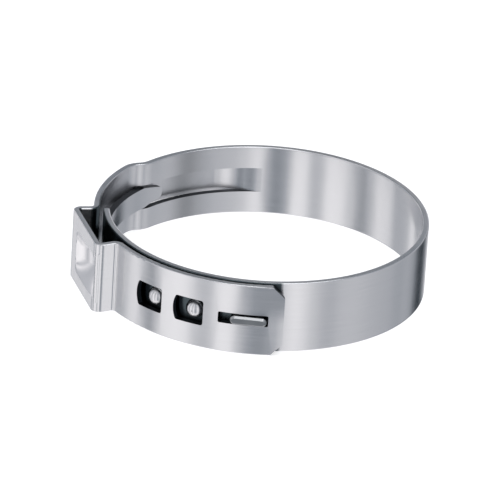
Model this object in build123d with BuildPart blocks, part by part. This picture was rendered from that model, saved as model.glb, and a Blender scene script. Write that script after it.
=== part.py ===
from build123d import *
import os
from math import acos, atan2, cos, degrees, radians, sin, sqrt

# A stepless ear clamp for hoses: one strip of stainless steel, wound nearly one
# and a half times round the ring axis, Z.  The origin is the middle of the ring,
# at half its width, and the ear points along -X.  Lengths are in millimetres,
# angles in degrees, and an angle along the strip is counted counterclockwise from
# the middle of the ear, seen from above.  The strip starts at its outer end,
# passes through the ear, steps inwards by one layer, goes once round the hose and
# beneath the ear, and ends in a narrow tongue, which lies in a groove so that the
# inside has no step.

# ---- strip and ring ----
BORE_DIAMETER = 29.6          # inside of the ring, where the hose sits
BAND_WIDTH = 7.0
BAND_THICKNESS = 0.6
LAP_CLEARANCE = 0.3           # air between the outer and the inner layer
EDGE_RADIUS = 0.14            # rolled long edges of the strip
EAR_AZIMUTH = 180.0

# ---- ear ----
CROWN_WIDTH = 9.0             # across the legs at the crown
FOOT_WIDTH = 8.3              # across the legs where they leave the ring
EAR_HEIGHT = 2.1              # outside of the crown above the foot of the legs
CROWN_BEND_RADIUS = 0.2       # inside of the two crown bends
FOOT_BEND_RADIUS = 0.35       # hollow side of the two foot bends
DIMPLE_LENGTH = 6.2
DIMPLE_SHIFT = 0.9             # towards the outer end of the strip
DIMPLE_DEPTH = 1.25
DIMPLE_LIP = 0.02             # depth along the upper and lower rim of the dimple
DIMPLE_FLOOR_WIDTH = 1.3
DIMPLE_MOUTH_WIDTH = 4.4
DIMPLE_MARGIN = 0.3           # extra metal round the back of the dimple

# ---- outer end ----
OUTER_END = 79.7
CORNER_CUT = 1.15             # both corners of the outer end
WINDOW_ANGLES = (32.7, 48.1)  # the two locking windows
WINDOW_LENGTH = 2.8
WINDOW_HEIGHT = 2.5
WINDOW_BOW = 0.3              # rounded bulge of the edge nearest the ear
WINDOW_CORNER = 0.25
SLOT_ANGLE = 66.4             # guide slot
SLOT_LENGTH = 4.7
SLOT_HEIGHT = 1.1
SLOT_CORNER = 0.15
CUT_REACH = 0.5               # how far a cut runs past the edge that it trims

# ---- hooks and guide rib, drawn outwards from the inner layer ----
HOOK_RADIUS = 0.92            # domed end of a hook, on the side towards the ear
HOOK_LENGTH = 1.75
HOOK_WALL = 0.4
HOOK_PLAY = 0.3               # between a hook and the edge that it locks on
RIB_LENGTH = 3.4
RIB_RISE = 1.3
RIB_SHOULDER = 0.2            # height of the bevel round the top of the rib
RIB_DRAFT = 40.0              # slope of that bevel
RIB_WALL = 0.22
RIB_PLAY = 0.13               # between the rib and the edges of the slot

# ---- step, belt and tongue ----
STEP_START = -49.6
STEP_BEND_RADIUS = 2.0        # middle of the strip in both bends of the step
BELT_END = -88.5              # where the raised belt starts to come back in
BELT_BEND_RADIUS = 5.5
BELT_WIDTH = 2.5
BELT_SPREAD = 0.16            # each edge of the belt is pressed over the strip beside it
SHOULDER = -373.0             # where the full width ends, beneath the ear
TONGUE_END = -424.6
TONGUE_PLAY = 0.2             # each side of the tongue, in the groove
TONGUE_TAPER = 2.4            # length of the tapered tip
TONGUE_NOSE = 1.0             # width of the tip before rounding
TONGUE_NOSE_RADIUS = 0.35

# ---- what follows from them ----
half_thickness = BAND_THICKNESS / 2
half_width = BAND_WIDTH / 2
inner_radius = BORE_DIAMETER / 2 + half_thickness  # middle of the inner layer
outer_radius = inner_radius + BAND_THICKNESS + LAP_CLEARANCE
lap_middle = (inner_radius + outer_radius) / 2
near_lap = lap_middle - LAP_CLEARANCE / 3
cut_depth = BAND_THICKNESS + LAP_CLEARANCE + CUT_REACH
outside = outer_radius + half_thickness
ear_direction = (cos(radians(EAR_AZIMUTH)), sin(radians(EAR_AZIMUTH)), 0)
plan = Plane((0, 0, -half_width), x_dir=ear_direction, z_dir=(0, 0, 1))  # X to the ear


def at(radius, angle):
    """A point of the plan view."""
    return (radius * cos(radians(angle)), radius * sin(radians(angle)))


def jog_turn(bend):
    """Angle round the ring that a step between the two layers takes.

    The first bend is centred inside the ring and the second outside it, and the
    two touch, so their centres are two bend radii apart.
    """
    first = outer_radius - bend
    second = inner_radius + bend
    return degrees(acos((first**2 + second**2 - (2 * bend) ** 2) / (2 * first * second)))


def stretch(radius, start, end):
    """Plan view of strip that follows the ring at one radius."""
    with BuildSketch(mode=Mode.PRIVATE) as face:
        with BuildLine():
            back = CenterArc((0, 0), radius - half_thickness, start, end - start)
            front = CenterArc((0, 0), radius + half_thickness, start, end - start)
            Line(back @ 0, front @ 0)
            Line(back @ 1, front @ 1)
        make_face()
    return face.sketch


def jog(start, bend):
    """Plan view of the step from the outer to the inner layer, going clockwise."""
    turn = jog_turn(bend)
    first = Vector(*at(outer_radius - bend, start))
    second = Vector(*at(inner_radius + bend, start - turn))
    facing = degrees(atan2(second.Y - first.Y, second.X - first.X))
    first_sweep = (facing - start + 180) % 360 - 180
    second_sweep = -turn - first_sweep
    with BuildSketch(mode=Mode.PRIVATE) as face:
        with BuildLine():
            front = CenterArc(first, bend + half_thickness, start, first_sweep)
            back = CenterArc(first, bend - half_thickness, start, first_sweep)
            front_out = CenterArc(second, bend - half_thickness, facing + 180, second_sweep)
            back_out = CenterArc(second, bend + half_thickness, facing + 180, second_sweep)
            Line(front @ 0, back @ 0)
            Line(front_out @ 1, back_out @ 1)
        make_face()
    return face.sketch


def dent(distance, depth, length, reach):
    """Plan view of the dimple at one height: an arched floor and a flat mouth."""
    low, high = DIMPLE_SHIFT - length / 2, DIMPLE_SHIFT + length / 2
    with BuildSketch(mode=Mode.PRIVATE) as face:
        with BuildLine():
            floor = ThreePointArc(
                (distance, low), (distance - depth, DIMPLE_SHIFT), (distance, high)
            )
            Polyline(floor @ 0, (distance + reach, low), (distance + reach, high), floor @ 1)
        make_face()
    return face.sketch


def facing_plane(angle, radius):
    """Plane at one place on the strip: X along the strip, Y up, Z outwards."""
    x, y = at(radius, EAR_AZIMUTH + angle)
    return Plane((x, y, 0), x_dir=(-y, x, 0), z_dir=(x, y, 0))


# ---- lie of the ear, in the plan view ----
# Each leg leans inwards by the flare.  A foot bend is centred outside the ring,
# a crown bend inside the ear, and both touch the leg.
foot_distance = sqrt(outside**2 - (FOOT_WIDTH / 2) ** 2)
crown_distance = foot_distance + EAR_HEIGHT
flare = degrees(atan2((FOOT_WIDTH - CROWN_WIDTH) / 2, EAR_HEIGHT))
leg_offset = foot_distance * sin(radians(flare)) + FOOT_WIDTH / 2 * cos(radians(flare))
foot_reach = leg_offset + FOOT_BEND_RADIUS
foot_along = sqrt((outside + FOOT_BEND_RADIUS) ** 2 - foot_reach**2)
foot_x = foot_reach * sin(radians(flare)) + foot_along * cos(radians(flare))
foot_y = foot_reach * cos(radians(flare)) - foot_along * sin(radians(flare))
foot_angle = degrees(atan2(foot_y, foot_x))
crown_bend = CROWN_BEND_RADIUS + BAND_THICKNESS
crown_x = crown_distance - crown_bend
crown_y = (leg_offset - crown_bend - crown_x * sin(radians(flare))) / cos(radians(flare))

# ---- lie of the belt, the tongue, the hooks and the rib ----
step_end = STEP_START - jog_turn(STEP_BEND_RADIUS)
belt_home = BELT_END - jog_turn(BELT_BEND_RADIUS)
strip_width = (BAND_WIDTH - BELT_WIDTH) / 2
tongue_width = BELT_WIDTH - 2 * TONGUE_PLAY
hook_centre = WINDOW_LENGTH / 2 - HOOK_PLAY - HOOK_LENGTH + HOOK_RADIUS
hook_hollow = HOOK_RADIUS - HOOK_WALL
rib_centre = SLOT_LENGTH / 2 - RIB_PLAY - RIB_LENGTH / 2
rib_width = SLOT_HEIGHT - 2 * RIB_PLAY
skin = inner_radius + half_thickness  # outer face of the inner layer
rib_side_top = skin + RIB_RISE - RIB_SHOULDER

with BuildPart() as clamp_band:
    # outer layer with the ear, full width
    with BuildSketch(plan):
        with BuildLine():
            for inset in (0, BAND_THICKNESS):
                face_radius = outside - inset
                for side, end in ((1, OUTER_END), (-1, -STEP_START)):
                    CenterArc((0, 0), face_radius, side * foot_angle, side * (end - foot_angle))
                    foot = CenterArc(
                        (foot_x, side * foot_y),
                        FOOT_BEND_RADIUS + inset,
                        side * (foot_angle + 180),
                        side * (90 - flare - foot_angle),
                    )
                    corner = CenterArc(
                        (crown_x, side * crown_y),
                        crown_bend - inset,
                        side * (90 - flare),
                        side * (flare - 90),
                    )
                    Line(foot @ 1, corner @ 0)
                Line((crown_distance - inset, crown_y), (crown_distance - inset, -crown_y))
            Line(at(outside, OUTER_END), at(outside - BAND_THICKNESS, OUTER_END))
            Line(at(outside, STEP_START), at(outside - BAND_THICKNESS, STEP_START))
        make_face()
    extrude(amount=BAND_WIDTH)

    # inner layer, full width, from the end of the belt to the shoulder
    with BuildSketch(plan):
        add(stretch(inner_radius, belt_home, SHOULDER))
    extrude(amount=BAND_WIDTH)

    # strips below and above the groove, which step inwards at once
    with BuildSketch(plan, plan.offset(BAND_WIDTH - strip_width)):
        add(jog(STEP_START, STEP_BEND_RADIUS))
        add(stretch(inner_radius, step_end, belt_home))
    extrude(amount=strip_width)

    # belt between them, which stays outside until the tongue has passed
    with BuildSketch(plan.offset(strip_width - BELT_SPREAD)):
        add(stretch(outer_radius, STEP_START, BELT_END))
        add(jog(BELT_END, BELT_BEND_RADIUS))
    extrude(amount=BELT_WIDTH + 2 * BELT_SPREAD)

    # tongue
    with BuildSketch(plan.offset(strip_width + TONGUE_PLAY)):
        add(stretch(inner_radius, SHOULDER, TONGUE_END))
    extrude(amount=tongue_width)

    # rolled edges of the strip
    rims = clamp_band.edges().group_by(Axis.Z)
    long_edges = (rims[0] + rims[-1]).filter_by(lambda edge: edge.length > 1.01 * BAND_THICKNESS)
    fillet(long_edges, EDGE_RADIUS)

    # dimple in the crown: the metal behind it first, then its mouth
    for distance, margin, mode in (
        (crown_distance - BAND_THICKNESS, DIMPLE_MARGIN, Mode.ADD),
        (crown_distance, 0, Mode.SUBTRACT),
    ):
        mouth = DIMPLE_MOUTH_WIDTH / 2 + margin
        floor = DIMPLE_FLOOR_WIDTH / 2 + margin
        for height, depth in (
            (-mouth, DIMPLE_LIP),
            (-floor, DIMPLE_DEPTH),
            (floor, DIMPLE_DEPTH),
            (mouth, DIMPLE_LIP),
        ):
            with BuildSketch(plan.offset(half_width + height)):
                add(dent(distance, depth, DIMPLE_LENGTH + 2 * margin, half_thickness))
        loft(ruled=True, mode=mode)

    # cut corners of the outer end
    with BuildSketch(facing_plane(OUTER_END, near_lap)):
        for side in (1, -1):
            with BuildLine():
                Polyline(
                    (CUT_REACH, side * (half_width + CUT_REACH)),
                    (-CORNER_CUT - CUT_REACH, side * (half_width + CUT_REACH)),
                    (CUT_REACH, side * (half_width - CORNER_CUT - CUT_REACH)),
                    close=True,
                )
            make_face()
    extrude(amount=cut_depth, mode=Mode.SUBTRACT)

    # locking windows, with the edge nearest the ear bowed out
    for angle in WINDOW_ANGLES:
        with BuildSketch(facing_plane(angle, near_lap)) as window:
            with BuildLine():
                straight = Polyline(
                    (-WINDOW_LENGTH / 2, -WINDOW_HEIGHT / 2),
                    (WINDOW_LENGTH / 2, -WINDOW_HEIGHT / 2),
                    (WINDOW_LENGTH / 2, WINDOW_HEIGHT / 2),
                    (-WINDOW_LENGTH / 2, WINDOW_HEIGHT / 2),
                )
                ThreePointArc(straight @ 0, (-WINDOW_LENGTH / 2 - WINDOW_BOW, 0), straight @ 1)
            make_face()
            fillet(window.vertices(), WINDOW_CORNER)
        extrude(amount=cut_depth, mode=Mode.SUBTRACT)

    # guide slot
    with BuildSketch(facing_plane(SLOT_ANGLE, near_lap)) as slot:
        Rectangle(SLOT_LENGTH, SLOT_HEIGHT)
        fillet(slot.vertices(), SLOT_CORNER)
    extrude(amount=cut_depth, mode=Mode.SUBTRACT)

    # tapered tip of the tongue, cut from the hose side
    with BuildSketch(facing_plane(TONGUE_END, inner_radius - BAND_THICKNESS)):
        with Locations((TONGUE_TAPER / 2 - CUT_REACH, 0)):
            Rectangle(TONGUE_TAPER + 2 * CUT_REACH, tongue_width + TONGUE_PLAY)
        with BuildSketch(mode=Mode.SUBTRACT) as nose:
            Polygon(
                (0, -TONGUE_NOSE / 2),
                (TONGUE_TAPER, -tongue_width / 2),
                (2 * TONGUE_TAPER, -tongue_width / 2),
                (2 * TONGUE_TAPER, tongue_width / 2),
                (TONGUE_TAPER, tongue_width / 2),
                (0, TONGUE_NOSE / 2),
                align=None,
            )
            fillet(nose.vertices().group_by(Axis.X)[0], TONGUE_NOSE_RADIUS)
    extrude(amount=lap_middle - inner_radius + BAND_THICKNESS, mode=Mode.SUBTRACT)

    # hooks, each a half dome sheared off on the side that it locks with, hollow
    # on the hose side
    for angle in WINDOW_ANGLES:
        base = facing_plane(angle, skin)
        with BuildPart(mode=Mode.PRIVATE) as dome:
            with BuildSketch(base.offset(-half_thickness)):
                with Locations((hook_centre, 0)):
                    Circle(HOOK_RADIUS)
            extrude(amount=half_thickness)
            with Locations(base.location * Location((hook_centre, 0, 0))):
                Sphere(HOOK_RADIUS, arc_size1=0, align=(Align.CENTER, Align.CENTER, Align.MIN))
            with Locations(base.location * Location((hook_centre + HOOK_LENGTH, 0, 0))):
                Box(2 * HOOK_RADIUS, 3 * HOOK_RADIUS, 3 * HOOK_RADIUS, mode=Mode.SUBTRACT)
        add(dome.part)
        with BuildSketch(base.offset(-BAND_THICKNESS - CUT_REACH)):
            with Locations((hook_centre, 0)):
                Circle(hook_hollow)
        extrude(amount=BAND_THICKNESS + CUT_REACH, mode=Mode.SUBTRACT)

    # guide rib, against the far end of its slot: its sides, the bevel round its top
    # and the hollow on the hose side
    for start, end, wall, draft, mode in (
        (inner_radius, rib_side_top, 0, 0, Mode.ADD),
        (rib_side_top, rib_side_top + RIB_SHOULDER, 0, RIB_DRAFT, Mode.ADD),
        (inner_radius - BAND_THICKNESS, rib_side_top - RIB_WALL, RIB_WALL, 0, Mode.SUBTRACT),
    ):
        with BuildSketch(facing_plane(SLOT_ANGLE, start)):
            with Locations((rib_centre, 0)):
                SlotOverall(RIB_LENGTH - 2 * wall, rib_width - 2 * wall)
        extrude(amount=end - start, taper=draft, mode=mode)

os.makedirs("parts", exist_ok=True)
clamp_band.part.label = "clamp_band"
export_step(clamp_band.part, "parts/clamp_band.step")
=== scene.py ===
import math

import bpy
import numpy as np
from mathutils import Matrix, Vector


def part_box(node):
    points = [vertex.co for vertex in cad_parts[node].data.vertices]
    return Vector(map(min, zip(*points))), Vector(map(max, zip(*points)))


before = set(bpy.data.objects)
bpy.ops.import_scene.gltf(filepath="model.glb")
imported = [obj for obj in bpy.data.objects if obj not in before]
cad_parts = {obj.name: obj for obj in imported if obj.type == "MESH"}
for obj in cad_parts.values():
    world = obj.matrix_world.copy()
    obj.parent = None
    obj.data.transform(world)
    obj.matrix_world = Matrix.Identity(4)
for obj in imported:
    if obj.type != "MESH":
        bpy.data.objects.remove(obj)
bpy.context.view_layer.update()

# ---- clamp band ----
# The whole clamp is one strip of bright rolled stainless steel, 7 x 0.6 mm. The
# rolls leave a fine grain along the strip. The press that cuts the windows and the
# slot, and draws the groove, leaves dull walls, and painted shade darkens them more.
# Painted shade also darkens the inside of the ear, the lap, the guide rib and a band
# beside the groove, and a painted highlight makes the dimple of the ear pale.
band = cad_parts["clamp_band"]
STEEL = (0.76, 0.765, 0.78, 1)
# dull cut walls, painted darker as painted shade in the narrow gaps
CUT_WALL_AND_SHADE = (0.15, 0.16, 0.18, 1)
# painted highlight on the dimple of the ear
DIMPLE_PAINTED_HIGHLIGHT = (0.93, 0.925, 0.935, 1)
# the colour of all painted shade on the steel
PAINTED_SHADE_COLOUR = (0.075, 0.095, 0.105, 1)
CUT_WALL_PAINTED_SHADE = 0.3  # painted shade: the share of the cut walls' colour left where they face up or down
TONE = (0.965, 1.03)  # brightness of the steel in the darkest and the lightest grain
ROUGHNESS = 0.24
GRAIN_ROUGHNESS = 0.05  # how far the grain moves the roughness
SHEARED_ROUGHNESS = 0.5
PUNCHED_ROUGHNESS = 0.33
RIM_ROUGHNESS = 0.28
ANISOTROPY = 0.85

steel = bpy.data.materials.new("rolled_stainless")
steel.use_nodes = True
nodes, link = steel.node_tree.nodes, steel.node_tree.links.new
shader = nodes["Principled BSDF"]


def steel_node(kind, operation=None, *values):
    """A node of the steel, its values given as numbers, vectors or outputs."""
    node = nodes.new(kind)
    if operation:
        node.operation = operation
    for socket, value in zip(node.inputs, values):
        if isinstance(value, bpy.types.NodeSocket):
            link(value, socket)
        elif value is not None:
            socket.default_value = value
    return node


def steel_math(operation, *values):
    """One step of arithmetic, as an output."""
    return steel_node("ShaderNodeMath", operation, *values).outputs[0]


def steel_vector(operation, *values):
    """One step of vector arithmetic, as an output."""
    return steel_node("ShaderNodeVectorMath", operation, *values).outputs[0]


def ramp(value, start, end, low=0.0, high=1.0):
    """low where value is at start, high at end, a straight line between, flat outside."""
    return steel_node("ShaderNodeMapRange", None, value, start, end, low, high).outputs[0]


def product(*values):
    """All the values multiplied."""
    result = values[0]
    for value in values[1:]:
        result = steel_math("MULTIPLY", result, value)
    return result


def mixed(factor, first, second, kind="FLOAT"):
    """first where factor is 0 and second where it is 1."""
    node = nodes.new("ShaderNodeMix")
    node.data_type = kind
    for name, value in (("Factor", factor), ("A", first), ("B", second)):
        if isinstance(value, bpy.types.NodeSocket):
            link(value, node.inputs[name])
        else:
            node.inputs[name].default_value = value
    return node.outputs["Result"]


# where a point is on the clamp, in metres, and which way its face looks
place = nodes.new("ShaderNodeTexCoord").outputs["Object"]
normal = nodes.new("ShaderNodeNewGeometry").outputs["True Normal"]
flat_place = steel_vector("MULTIPLY", place, (1, 1, 0))
outward = steel_vector("NORMALIZE", flat_place)
radius = steel_node("ShaderNodeVectorMath", "LENGTH", flat_place).outputs["Value"]
facing_out = steel_node("ShaderNodeVectorMath", "DOT_PRODUCT", outward, normal).outputs["Value"]
along_x, along_y, along_z = steel_node("ShaderNodeSeparateXYZ", None, place).outputs
from_middle = steel_math("ABSOLUTE", along_z)
off_ear_middle = steel_math("ABSOLUTE", along_y)
upright = steel_math("ABSOLUTE", steel_node("ShaderNodeSeparateXYZ", None, normal).outputs["Z"])

# sheared walls face along the strip or across it, between the rolled edges, and the
# legs of the ear are not among them
sheared = product(
    ramp(steel_math("ABSOLUTE", facing_out), 0.32, 0.12),
    ramp(from_middle, 0.00342, 0.00338),
    ramp(along_x, -0.0152, -0.0150),
)

# rolling grain: noise drawn out along the strip, in three sizes
GRAIN = ((14000, 260, 0.55), (5200, 90, 0.3), (1500, 60, 0.15))  # per metre across, along, share
grain = None
for across, along, share in GRAIN:
    stretched = steel_vector("MULTIPLY", place, (along, along, across))
    noise = steel_node("ShaderNodeTexNoise", None, stretched)
    noise.inputs["Scale"].default_value = 1.0
    noise.inputs["Detail"].default_value = 2.0
    part = steel_math("MULTIPLY", noise.outputs["Fac"], share)
    grain = part if grain is None else steel_math("ADD", grain, part)

# painted shade where little light reaches: the inside of the ear, and the inner
# layer where the outer one lies over it, which shows through the windows
ear_painted_shade = product(
    ramp(radius, 0.01548, 0.01556),
    ramp(off_ear_middle, 0.0085, 0.0055),
    ramp(along_x, -0.0128, -0.0135),
    ramp(facing_out, -0.05, -0.15),
)
lap_painted_shade = product(
    ramp(radius, 0.01548, 0.01542),
    ramp(facing_out, 0.3, 0.5),
    ramp(along_y, 0.0064, 0.0060),
    ramp(along_x, -0.0028, -0.0031),
)

# painted shade on the face of the guide rib, and a little less on its bevels, which face up or
# down
RIB_SHADE_SHARE, BEVEL_SHADE_SHARE = 0.72, 0.55  # share of the painted shade colour on the face, and how much of it on the bevels
rib_painted_shade = product(
    ramp(radius, 0.01631, 0.01633, 0.0, RIB_SHADE_SHARE),
    ramp(along_y, -0.0120, -0.0122),
    ramp(upright, 0.35, 0.6, 1.0, BEVEL_SHADE_SHARE),
)

# the dimple of the ear is smoother, and painted pale as a painted highlight
punched = product(
    ramp(along_x, -0.01784, -0.01780),
    ramp(along_x, -0.0161, -0.0160, 1.0, 0.0),
    ramp(along_y, -0.00392, -0.00388),
    ramp(facing_out, 0.3, 0.4),
    ramp(from_middle, 0.0023, 0.00225),
)

# For the look alone, the bent strip is taken as not quite round: each row turns the
# inner face about the upright axis, in a bell over the angle round the ring. The rows
# hold the middle and half width of the bell, and the turn, in degrees.
UNEVEN = ((17, 6, 3.0), (42, 9.5, -4.2), (80, 11, 8.5))
LEG_LEAN, DIMPLE_LEAN = -12.0, 8.0  # degrees
BAND_SHADE_MIDDLE, BAND_SHADE_HALF, BAND_SHADE_SHARE = 104, 6, 0.52  # degrees, degrees, and share of the painted shade colour, for a band of painted shade
turned = steel_math("ARCTAN2", along_y, along_x)
inner_face = ramp(facing_out, -0.8, -0.9)


def bell(centre, half):
    """exp(-((angle - centre) / half)^2), for angles in degrees round the ring."""
    gap = steel_math("SUBTRACT", turned, math.radians(centre))
    scaled = steel_math("DIVIDE", steel_math("WRAP", gap, math.pi, -math.pi), math.radians(half))
    return steel_math("EXPONENT", product(scaled, scaled, -1.0))


uneven = 0.0
for centre, half, lean in UNEVEN:
    uneven = steel_math("MULTIPLY_ADD", bell(centre, half), math.radians(lean), uneven)
uneven = product(uneven, inner_face)

# the near leg of the ear and the dimple lean a little
on_leg = product(
    ramp(along_y, -0.0040, -0.0041),
    ramp(along_x, -0.0157, -0.0160),
    ramp(along_x, -0.0177, -0.0173),
)
uneven = steel_math("MULTIPLY_ADD", on_leg, math.radians(LEG_LEAN), uneven)
uneven = steel_math("MULTIPLY_ADD", punched, math.radians(DIMPLE_LEAN), uneven)

# painted shade: a darker band crosses the inner face beside the groove
groove_band_shade = product(bell(BAND_SHADE_MIDDLE, BAND_SHADE_HALF), inner_face, BAND_SHADE_SHARE)

# colour
rolled = steel_vector("SCALE", STEEL[:3])
link(ramp(grain, 0.3, 0.7, *TONE), rolled.node.inputs["Scale"])
# the cut walls' colour, darkened further as painted shade where they face up or down
cut_wall_and_shade = steel_vector("SCALE", CUT_WALL_AND_SHADE[:3])
link(ramp(upright, 0.5, 0.9, 1.0, CUT_WALL_PAINTED_SHADE), cut_wall_and_shade.node.inputs["Scale"])
colour = mixed(sheared, rolled, cut_wall_and_shade, "RGBA")
# painted highlight: the dimple of the ear is painted pale
colour = mixed(punched, colour, DIMPLE_PAINTED_HIGHLIGHT, "RGBA")
# painted shade in the ear, under the lap, on the rib and in the band beside the groove
painted_shade = steel_math("MAXIMUM", steel_math("MAXIMUM", ear_painted_shade, lap_painted_shade), rib_painted_shade)
painted_shade = steel_math("MAXIMUM", painted_shade, groove_band_shade)
link(mixed(painted_shade, colour, PAINTED_SHADE_COLOUR, "RGBA"), shader.inputs["Base Color"])

# roughness
off_middle = steel_math("SUBTRACT", grain, 0.5)
worn = steel_math("MULTIPLY_ADD", off_middle, GRAIN_ROUGHNESS * 2, ROUGHNESS)
rough = mixed(sheared, worn, SHEARED_ROUGHNESS)
rough = mixed(ramp(upright, 0.6, 0.95), rough, RIM_ROUGHNESS)
link(mixed(punched, rough, PUNCHED_ROUGHNESS), shader.inputs["Roughness"])

# soft waves where the strip was bent to the ring, and the grain's own relief
BUMP_HEIGHT = 0.000022  # metres
WAVES = (420, 420, 130)  # per metre along X, Y and Z
GRAIN_RELIEF = 0.004  # share of the bump's height
waves = steel_node("ShaderNodeTexNoise", None, steel_vector("MULTIPLY", place, WAVES))
waves.inputs["Scale"].default_value = 1.0
waves.inputs["Detail"].default_value = 1.0
relief = steel_math("MULTIPLY_ADD", grain, GRAIN_RELIEF, waves.outputs["Fac"])

# the upper corner of the outer end stands out a little: its rise is FLARE_CURVE times
# the square of the distance past FLARE_START, along X, and fades out below the middle
FLARE_START, FLARE_CURVE = -0.0056, 26.0  # metres, and per metre
past = steel_math("MAXIMUM", steel_math("SUBTRACT", along_x, FLARE_START), 0.0)
upper = ramp(along_z, -0.0005, 0.0022)
upper.node.interpolation_type = "SMOOTHSTEP"
outer_end = product(ramp(radius, 0.0162, 0.01625), ramp(along_y, -0.012, -0.0122))
rise = product(past, past, upper, outer_end)
relief = steel_math("MULTIPLY_ADD", rise, FLARE_CURVE / BUMP_HEIGHT, relief)
bump = nodes.new("ShaderNodeBump")
bump.inputs["Strength"].default_value = 1.0
bump.inputs["Distance"].default_value = BUMP_HEIGHT
link(relief, bump.inputs["Height"])
swung = nodes.new("ShaderNodeVectorRotate")
swung.rotation_type = "Z_AXIS"
link(bump.outputs[0], swung.inputs["Vector"])
link(uneven, swung.inputs["Angle"])
link(swung.outputs[0], shader.inputs["Normal"])

# the grain spreads a reflection across the strip, so the shader's long axis is
# upright on the walls and radial on the rims
long_axis = steel_vector("MULTIPLY_ADD", place, (10, 10, 0), (0, 0, 1))
link(long_axis, shader.inputs["Tangent"])
shader.inputs["Anisotropic"].default_value = ANISOTROPY
shader.inputs["Metallic"].default_value = 1.0
for slot in band.material_slots:
    slot.material = steel

# ---- floor ----
# A pale sheet that the clamp stands on. It is white to the camera, and keeps a faint
# shadow. The steel does not show it: the studio's panels stand in its reflections.
PAPER = (0.9, 0.9, 0.9, 1)
PAPER_ROUGHNESS = 0.9
PAPER_GLOW = 0.64  # seen by the camera alone
REACH = 1.0  # metres from the middle to each side
floor_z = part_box("clamp_band")[0][2]
corners = [(-REACH, -REACH), (REACH, -REACH), (REACH, REACH), (-REACH, REACH)]
floor_mesh = bpy.data.meshes.new("floor")
floor_mesh.from_pydata([(x, y, floor_z) for x, y in corners], [], [(0, 1, 2, 3)])
floor = bpy.data.objects.new("floor", floor_mesh)
bpy.context.scene.collection.objects.link(floor)
paper = bpy.data.materials.new("white_paper")
paper.use_nodes = True
tree = paper.node_tree
matt = tree.nodes["Principled BSDF"]
matt.inputs["Base Color"].default_value = PAPER
matt.inputs["Roughness"].default_value = PAPER_ROUGHNESS
matt.inputs["Specular IOR Level"].default_value = 0
glow = tree.nodes.new("ShaderNodeEmission")
glow.inputs["Strength"].default_value = PAPER_GLOW
rays = tree.nodes.new("ShaderNodeLightPath")
tree.links.new(rays.outputs["Is Camera Ray"], glow.inputs["Color"])
both = tree.nodes.new("ShaderNodeAddShader")
tree.links.new(matt.outputs[0], both.inputs[0])
tree.links.new(glow.outputs[0], both.inputs[1])
tree.links.new(both.outputs[0], tree.nodes["Material Output"].inputs["Surface"])
floor_mesh.materials.append(paper)
floor.visible_glossy = False

# ---- contact shadow card ----
# The floor between the two layers and inside the ear gets no light. A black card
# there, which only reflections see, keeps the gaps of the clamp dark.
BLACK = (0.01, 0.014, 0.02, 1)
CARD_RISE = 0.0001  # metres over the floor
CARD_RADII = (0.01525, 0.01585)  # metres, inner and outer edge beneath the lap
CARD_ANGLES = (168, 260, 2.5)  # degrees, first, end and step, where the layers lie in pairs
EAR_X, EAR_HALF = (-0.0174, -0.0149), 0.0039  # metres, the card's part inside the ear
card_z = floor_z + CARD_RISE
lap_turns = np.radians(np.arange(*CARD_ANGLES))
card_arcs = []
for reach in CARD_RADII:
    arc = (reach * np.cos(lap_turns), reach * np.sin(lap_turns), 0 * lap_turns + card_z)
    card_arcs.append(np.stack(arc, axis=-1))
count = len(lap_turns)
card_faces = [(i, i + 1, count + i + 1, count + i) for i in range(count - 1)]
ear_corners = [
    (EAR_X[0], -EAR_HALF, card_z),
    (EAR_X[1], -EAR_HALF, card_z),
    (EAR_X[1], EAR_HALF, card_z),
    (EAR_X[0], EAR_HALF, card_z),
]
card_mesh = bpy.data.meshes.new("contact_card")
card_mesh.from_pydata(
    np.concatenate(card_arcs + [np.array(ear_corners)]).tolist(),
    [],
    card_faces + [tuple(2 * count + i for i in range(4))],
)
card = bpy.data.objects.new("contact_card", card_mesh)
bpy.context.scene.collection.objects.link(card)
black = bpy.data.materials.new("black_card")
black.use_nodes = True
black.node_tree.nodes["Principled BSDF"].inputs["Base Color"].default_value = BLACK
card_mesh.materials.append(black)
card.visible_camera = False
card.visible_diffuse = False
card.visible_shadow = False

# ---- studio ----
# Tall soft panels stand round the table, with dark gaps between them, and give the
# steel its upright bands. Above them the room is darker. A least-squares solver set
# the values of ROOM, PANELS and GAPS, apart from a few changed one by one: they are not
# a plain studio's, and suit this view.
ROOM = 0.5
PANELS = (  # middle and half width, in degrees, and brightness over the room's
    (64, 7, 0.58),
    (112, 5, 0.68),
    (158, 6, 0.62),
    (193, 12, 0.84),
    (229, 8, 0.8),
    (275, 14, 0.5),
    (318, 18, 0.11),
)
GAPS = (  # the same, for the dark gaps
    (38, 10, -0.8),
    (89, 5, -0.62),
    (173, 3, -0.42),
    (255, 15, -0.29),
    (302, 5, -0.08),
    (5, 8, -0.1),
)
GAP_TOP = (-0.25, -0.05)  # height over which the gaps end; all heights are a direction's Z
PANEL_TOP = (0.24, 0.5)  # height over which the panels end
ABOVE = 0.1  # brightness over the panels
SHEET_TOP = (-0.85, -0.55)  # height over which the pale table top ends
DARK_SIDE, DARK_HALF = 72, 26  # degrees: the room is darkest above this side
DARK_ALL_ROUND = 0.3
TINTS = ((0.3, (0.27, 0.295, 0.33, 1)), (0.6, (0.58, 0.585, 0.615, 1)))
BLACKEST, WHITEST = (0.006, 0.012, 0.018, 1), (1.0, 0.985, 1.0, 1)
STUDIO_STRENGTH = 1.05
world = bpy.data.worlds.new("studio")
bpy.context.scene.world = world
world.use_nodes = True
tree = world.node_tree
sky_link = tree.links.new


def sky_math(operation, *values):
    """One step of the room's light, its values given as numbers or outputs."""
    node = tree.nodes.new("ShaderNodeMath")
    node.operation = operation
    for socket, value in zip(node.inputs, values):
        if isinstance(value, bpy.types.NodeSocket):
            sky_link(value, socket)
        else:
            socket.default_value = value
    return node.outputs[0]


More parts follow.
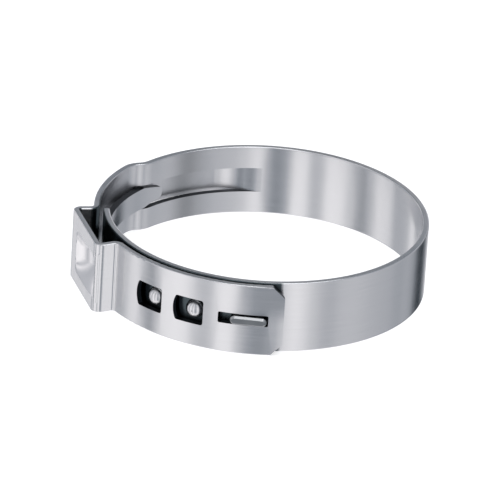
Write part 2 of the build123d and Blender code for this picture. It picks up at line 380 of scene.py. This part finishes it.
apart = tree.nodes.new("ShaderNodeSeparateXYZ")
sky_link(tree.nodes.new("ShaderNodeTexCoord").outputs["Generated"], apart.inputs[0])
azimuth = sky_math("ARCTAN2", apart.outputs["Y"], apart.outputs["X"])


def sky_ramp(start, end, low, high, smooth=True):
    """low at the height start, high at end, between them smooth or straight."""
    node = tree.nodes.new("ShaderNodeMapRange")
    if smooth:
        node.interpolation_type = "SMOOTHSTEP"
    sky_link(apart.outputs["Z"], node.inputs["Value"])
    for socket, value in zip(node.inputs[1:5], (start, end, low, high)):
        socket.default_value = value
    return node.outputs[0]


def sky_bell(centre, half):
    """exp(-((azimuth - centre) / half)^2), for angles in degrees."""
    gap = sky_math("SUBTRACT", azimuth, math.radians(centre))
    scaled = sky_math("DIVIDE", sky_math("WRAP", gap, math.pi, -math.pi), math.radians(half))
    return sky_math("EXPONENT", sky_math("MULTIPLY", sky_math("MULTIPLY", scaled, scaled), -1.0))


level = ROOM
for centre, half, strength in PANELS:
    level = sky_math("MULTIPLY_ADD", sky_bell(centre, half), strength, level)
gap_height = sky_ramp(*GAP_TOP, 1.0, 0.0, smooth=False)
for centre, half, strength in GAPS:
    fall = sky_math("MULTIPLY", sky_bell(centre, half), gap_height)
    level = sky_math("MULTIPLY_ADD", fall, strength, level)
over = sky_math("SUBTRACT", 1.0, sky_ramp(*PANEL_TOP, 1.0, ABOVE))
side = sky_math(
    "MULTIPLY_ADD", sky_bell(DARK_SIDE, DARK_HALF), 1 - DARK_ALL_ROUND, DARK_ALL_ROUND
)
shade = sky_math("MULTIPLY", over, side)
level = sky_math("MULTIPLY", level, sky_math("SUBTRACT", 1.0, shade))
level = sky_math("MAXIMUM", level, sky_ramp(*SHEET_TOP, 1.0, 0.0))
tint = tree.nodes.new("ShaderNodeValToRGB")
tints = tint.color_ramp.elements
tints[0].position, tints[0].color = 0.0, BLACKEST
tints[1].position, tints[1].color = 1.0, WHITEST
for position, colour in TINTS:
    tints.new(position).color = colour
sky_link(level, tint.inputs[0])
shine = tree.nodes["Background"]
sky_link(tint.outputs[0], shine.inputs["Color"])
shine.inputs["Strength"].default_value = STUDIO_STRENGTH
blank = tree.nodes.new("ShaderNodeBackground")  # the camera sees plain white
blank.inputs["Color"].default_value = (1, 1, 1, 1)
choice = tree.nodes.new("ShaderNodeMixShader")
sky_link(tree.nodes.new("ShaderNodeLightPath").outputs["Is Camera Ray"], choice.inputs[0])
sky_link(shine.outputs[0], choice.inputs[1])
sky_link(blank.outputs[0], choice.inputs[2])
sky_link(choice.outputs[0], tree.nodes["World Output"].inputs["Surface"])

# a soft lamp above, for the floor and the rolled edges
SOFTBOX_SIDE, SOFTBOX_POWER = 0.3, 0.4  # metres and watts
SOFTBOX_PLACE = (0.04, -0.06, 0.4)
softbox = bpy.data.lights.new("softbox", "AREA")
softbox.size = SOFTBOX_SIDE
softbox.energy = SOFTBOX_POWER
lamp = bpy.data.objects.new("softbox", softbox)
bpy.context.scene.collection.objects.link(lamp)
lamp.location = SOFTBOX_PLACE
lamp.rotation_euler = (-Vector(SOFTBOX_PLACE)).to_track_quat("-Z", "Y").to_euler()

# ---- camera ----
# It stands back with a long lens and looks down a little, rolled by a few degrees.
ELEVATION, ROLL, DISTANCE = math.radians(25.416), math.radians(3.578), 0.5365
AZIMUTH = math.radians(-18)
OFFSET = (0.0013561, 0.0004075)  # of the lens axis from the ring's middle, across and up
FIELD = math.radians(5.05)
forward = Vector((0, math.cos(ELEVATION), -math.sin(ELEVATION)))
level_right = Vector((1, 0, 0))
level_up = level_right.cross(forward)
right = math.cos(ROLL) * level_right + math.sin(ROLL) * level_up
up = -math.sin(ROLL) * level_right + math.cos(ROLL) * level_up
spot = -forward * DISTANCE - right * OFFSET[0] - up * OFFSET[1]
turn = Matrix.Rotation(AZIMUTH, 3, "Z")
lens = bpy.data.cameras.new("camera")
lens.lens = lens.sensor_width / 2 / math.tan(FIELD / 2)
lens.clip_start = 0.01
camera = bpy.data.objects.new("camera", lens)
bpy.context.scene.collection.objects.link(camera)
axes = Matrix((turn @ right, turn @ up, turn @ -forward)).transposed()
camera.matrix_world = Matrix.Translation(turn @ spot) @ axes.to_4x4()
bpy.context.scene.camera = camera
bpy.context.scene.view_settings.view_transform = "Standard"
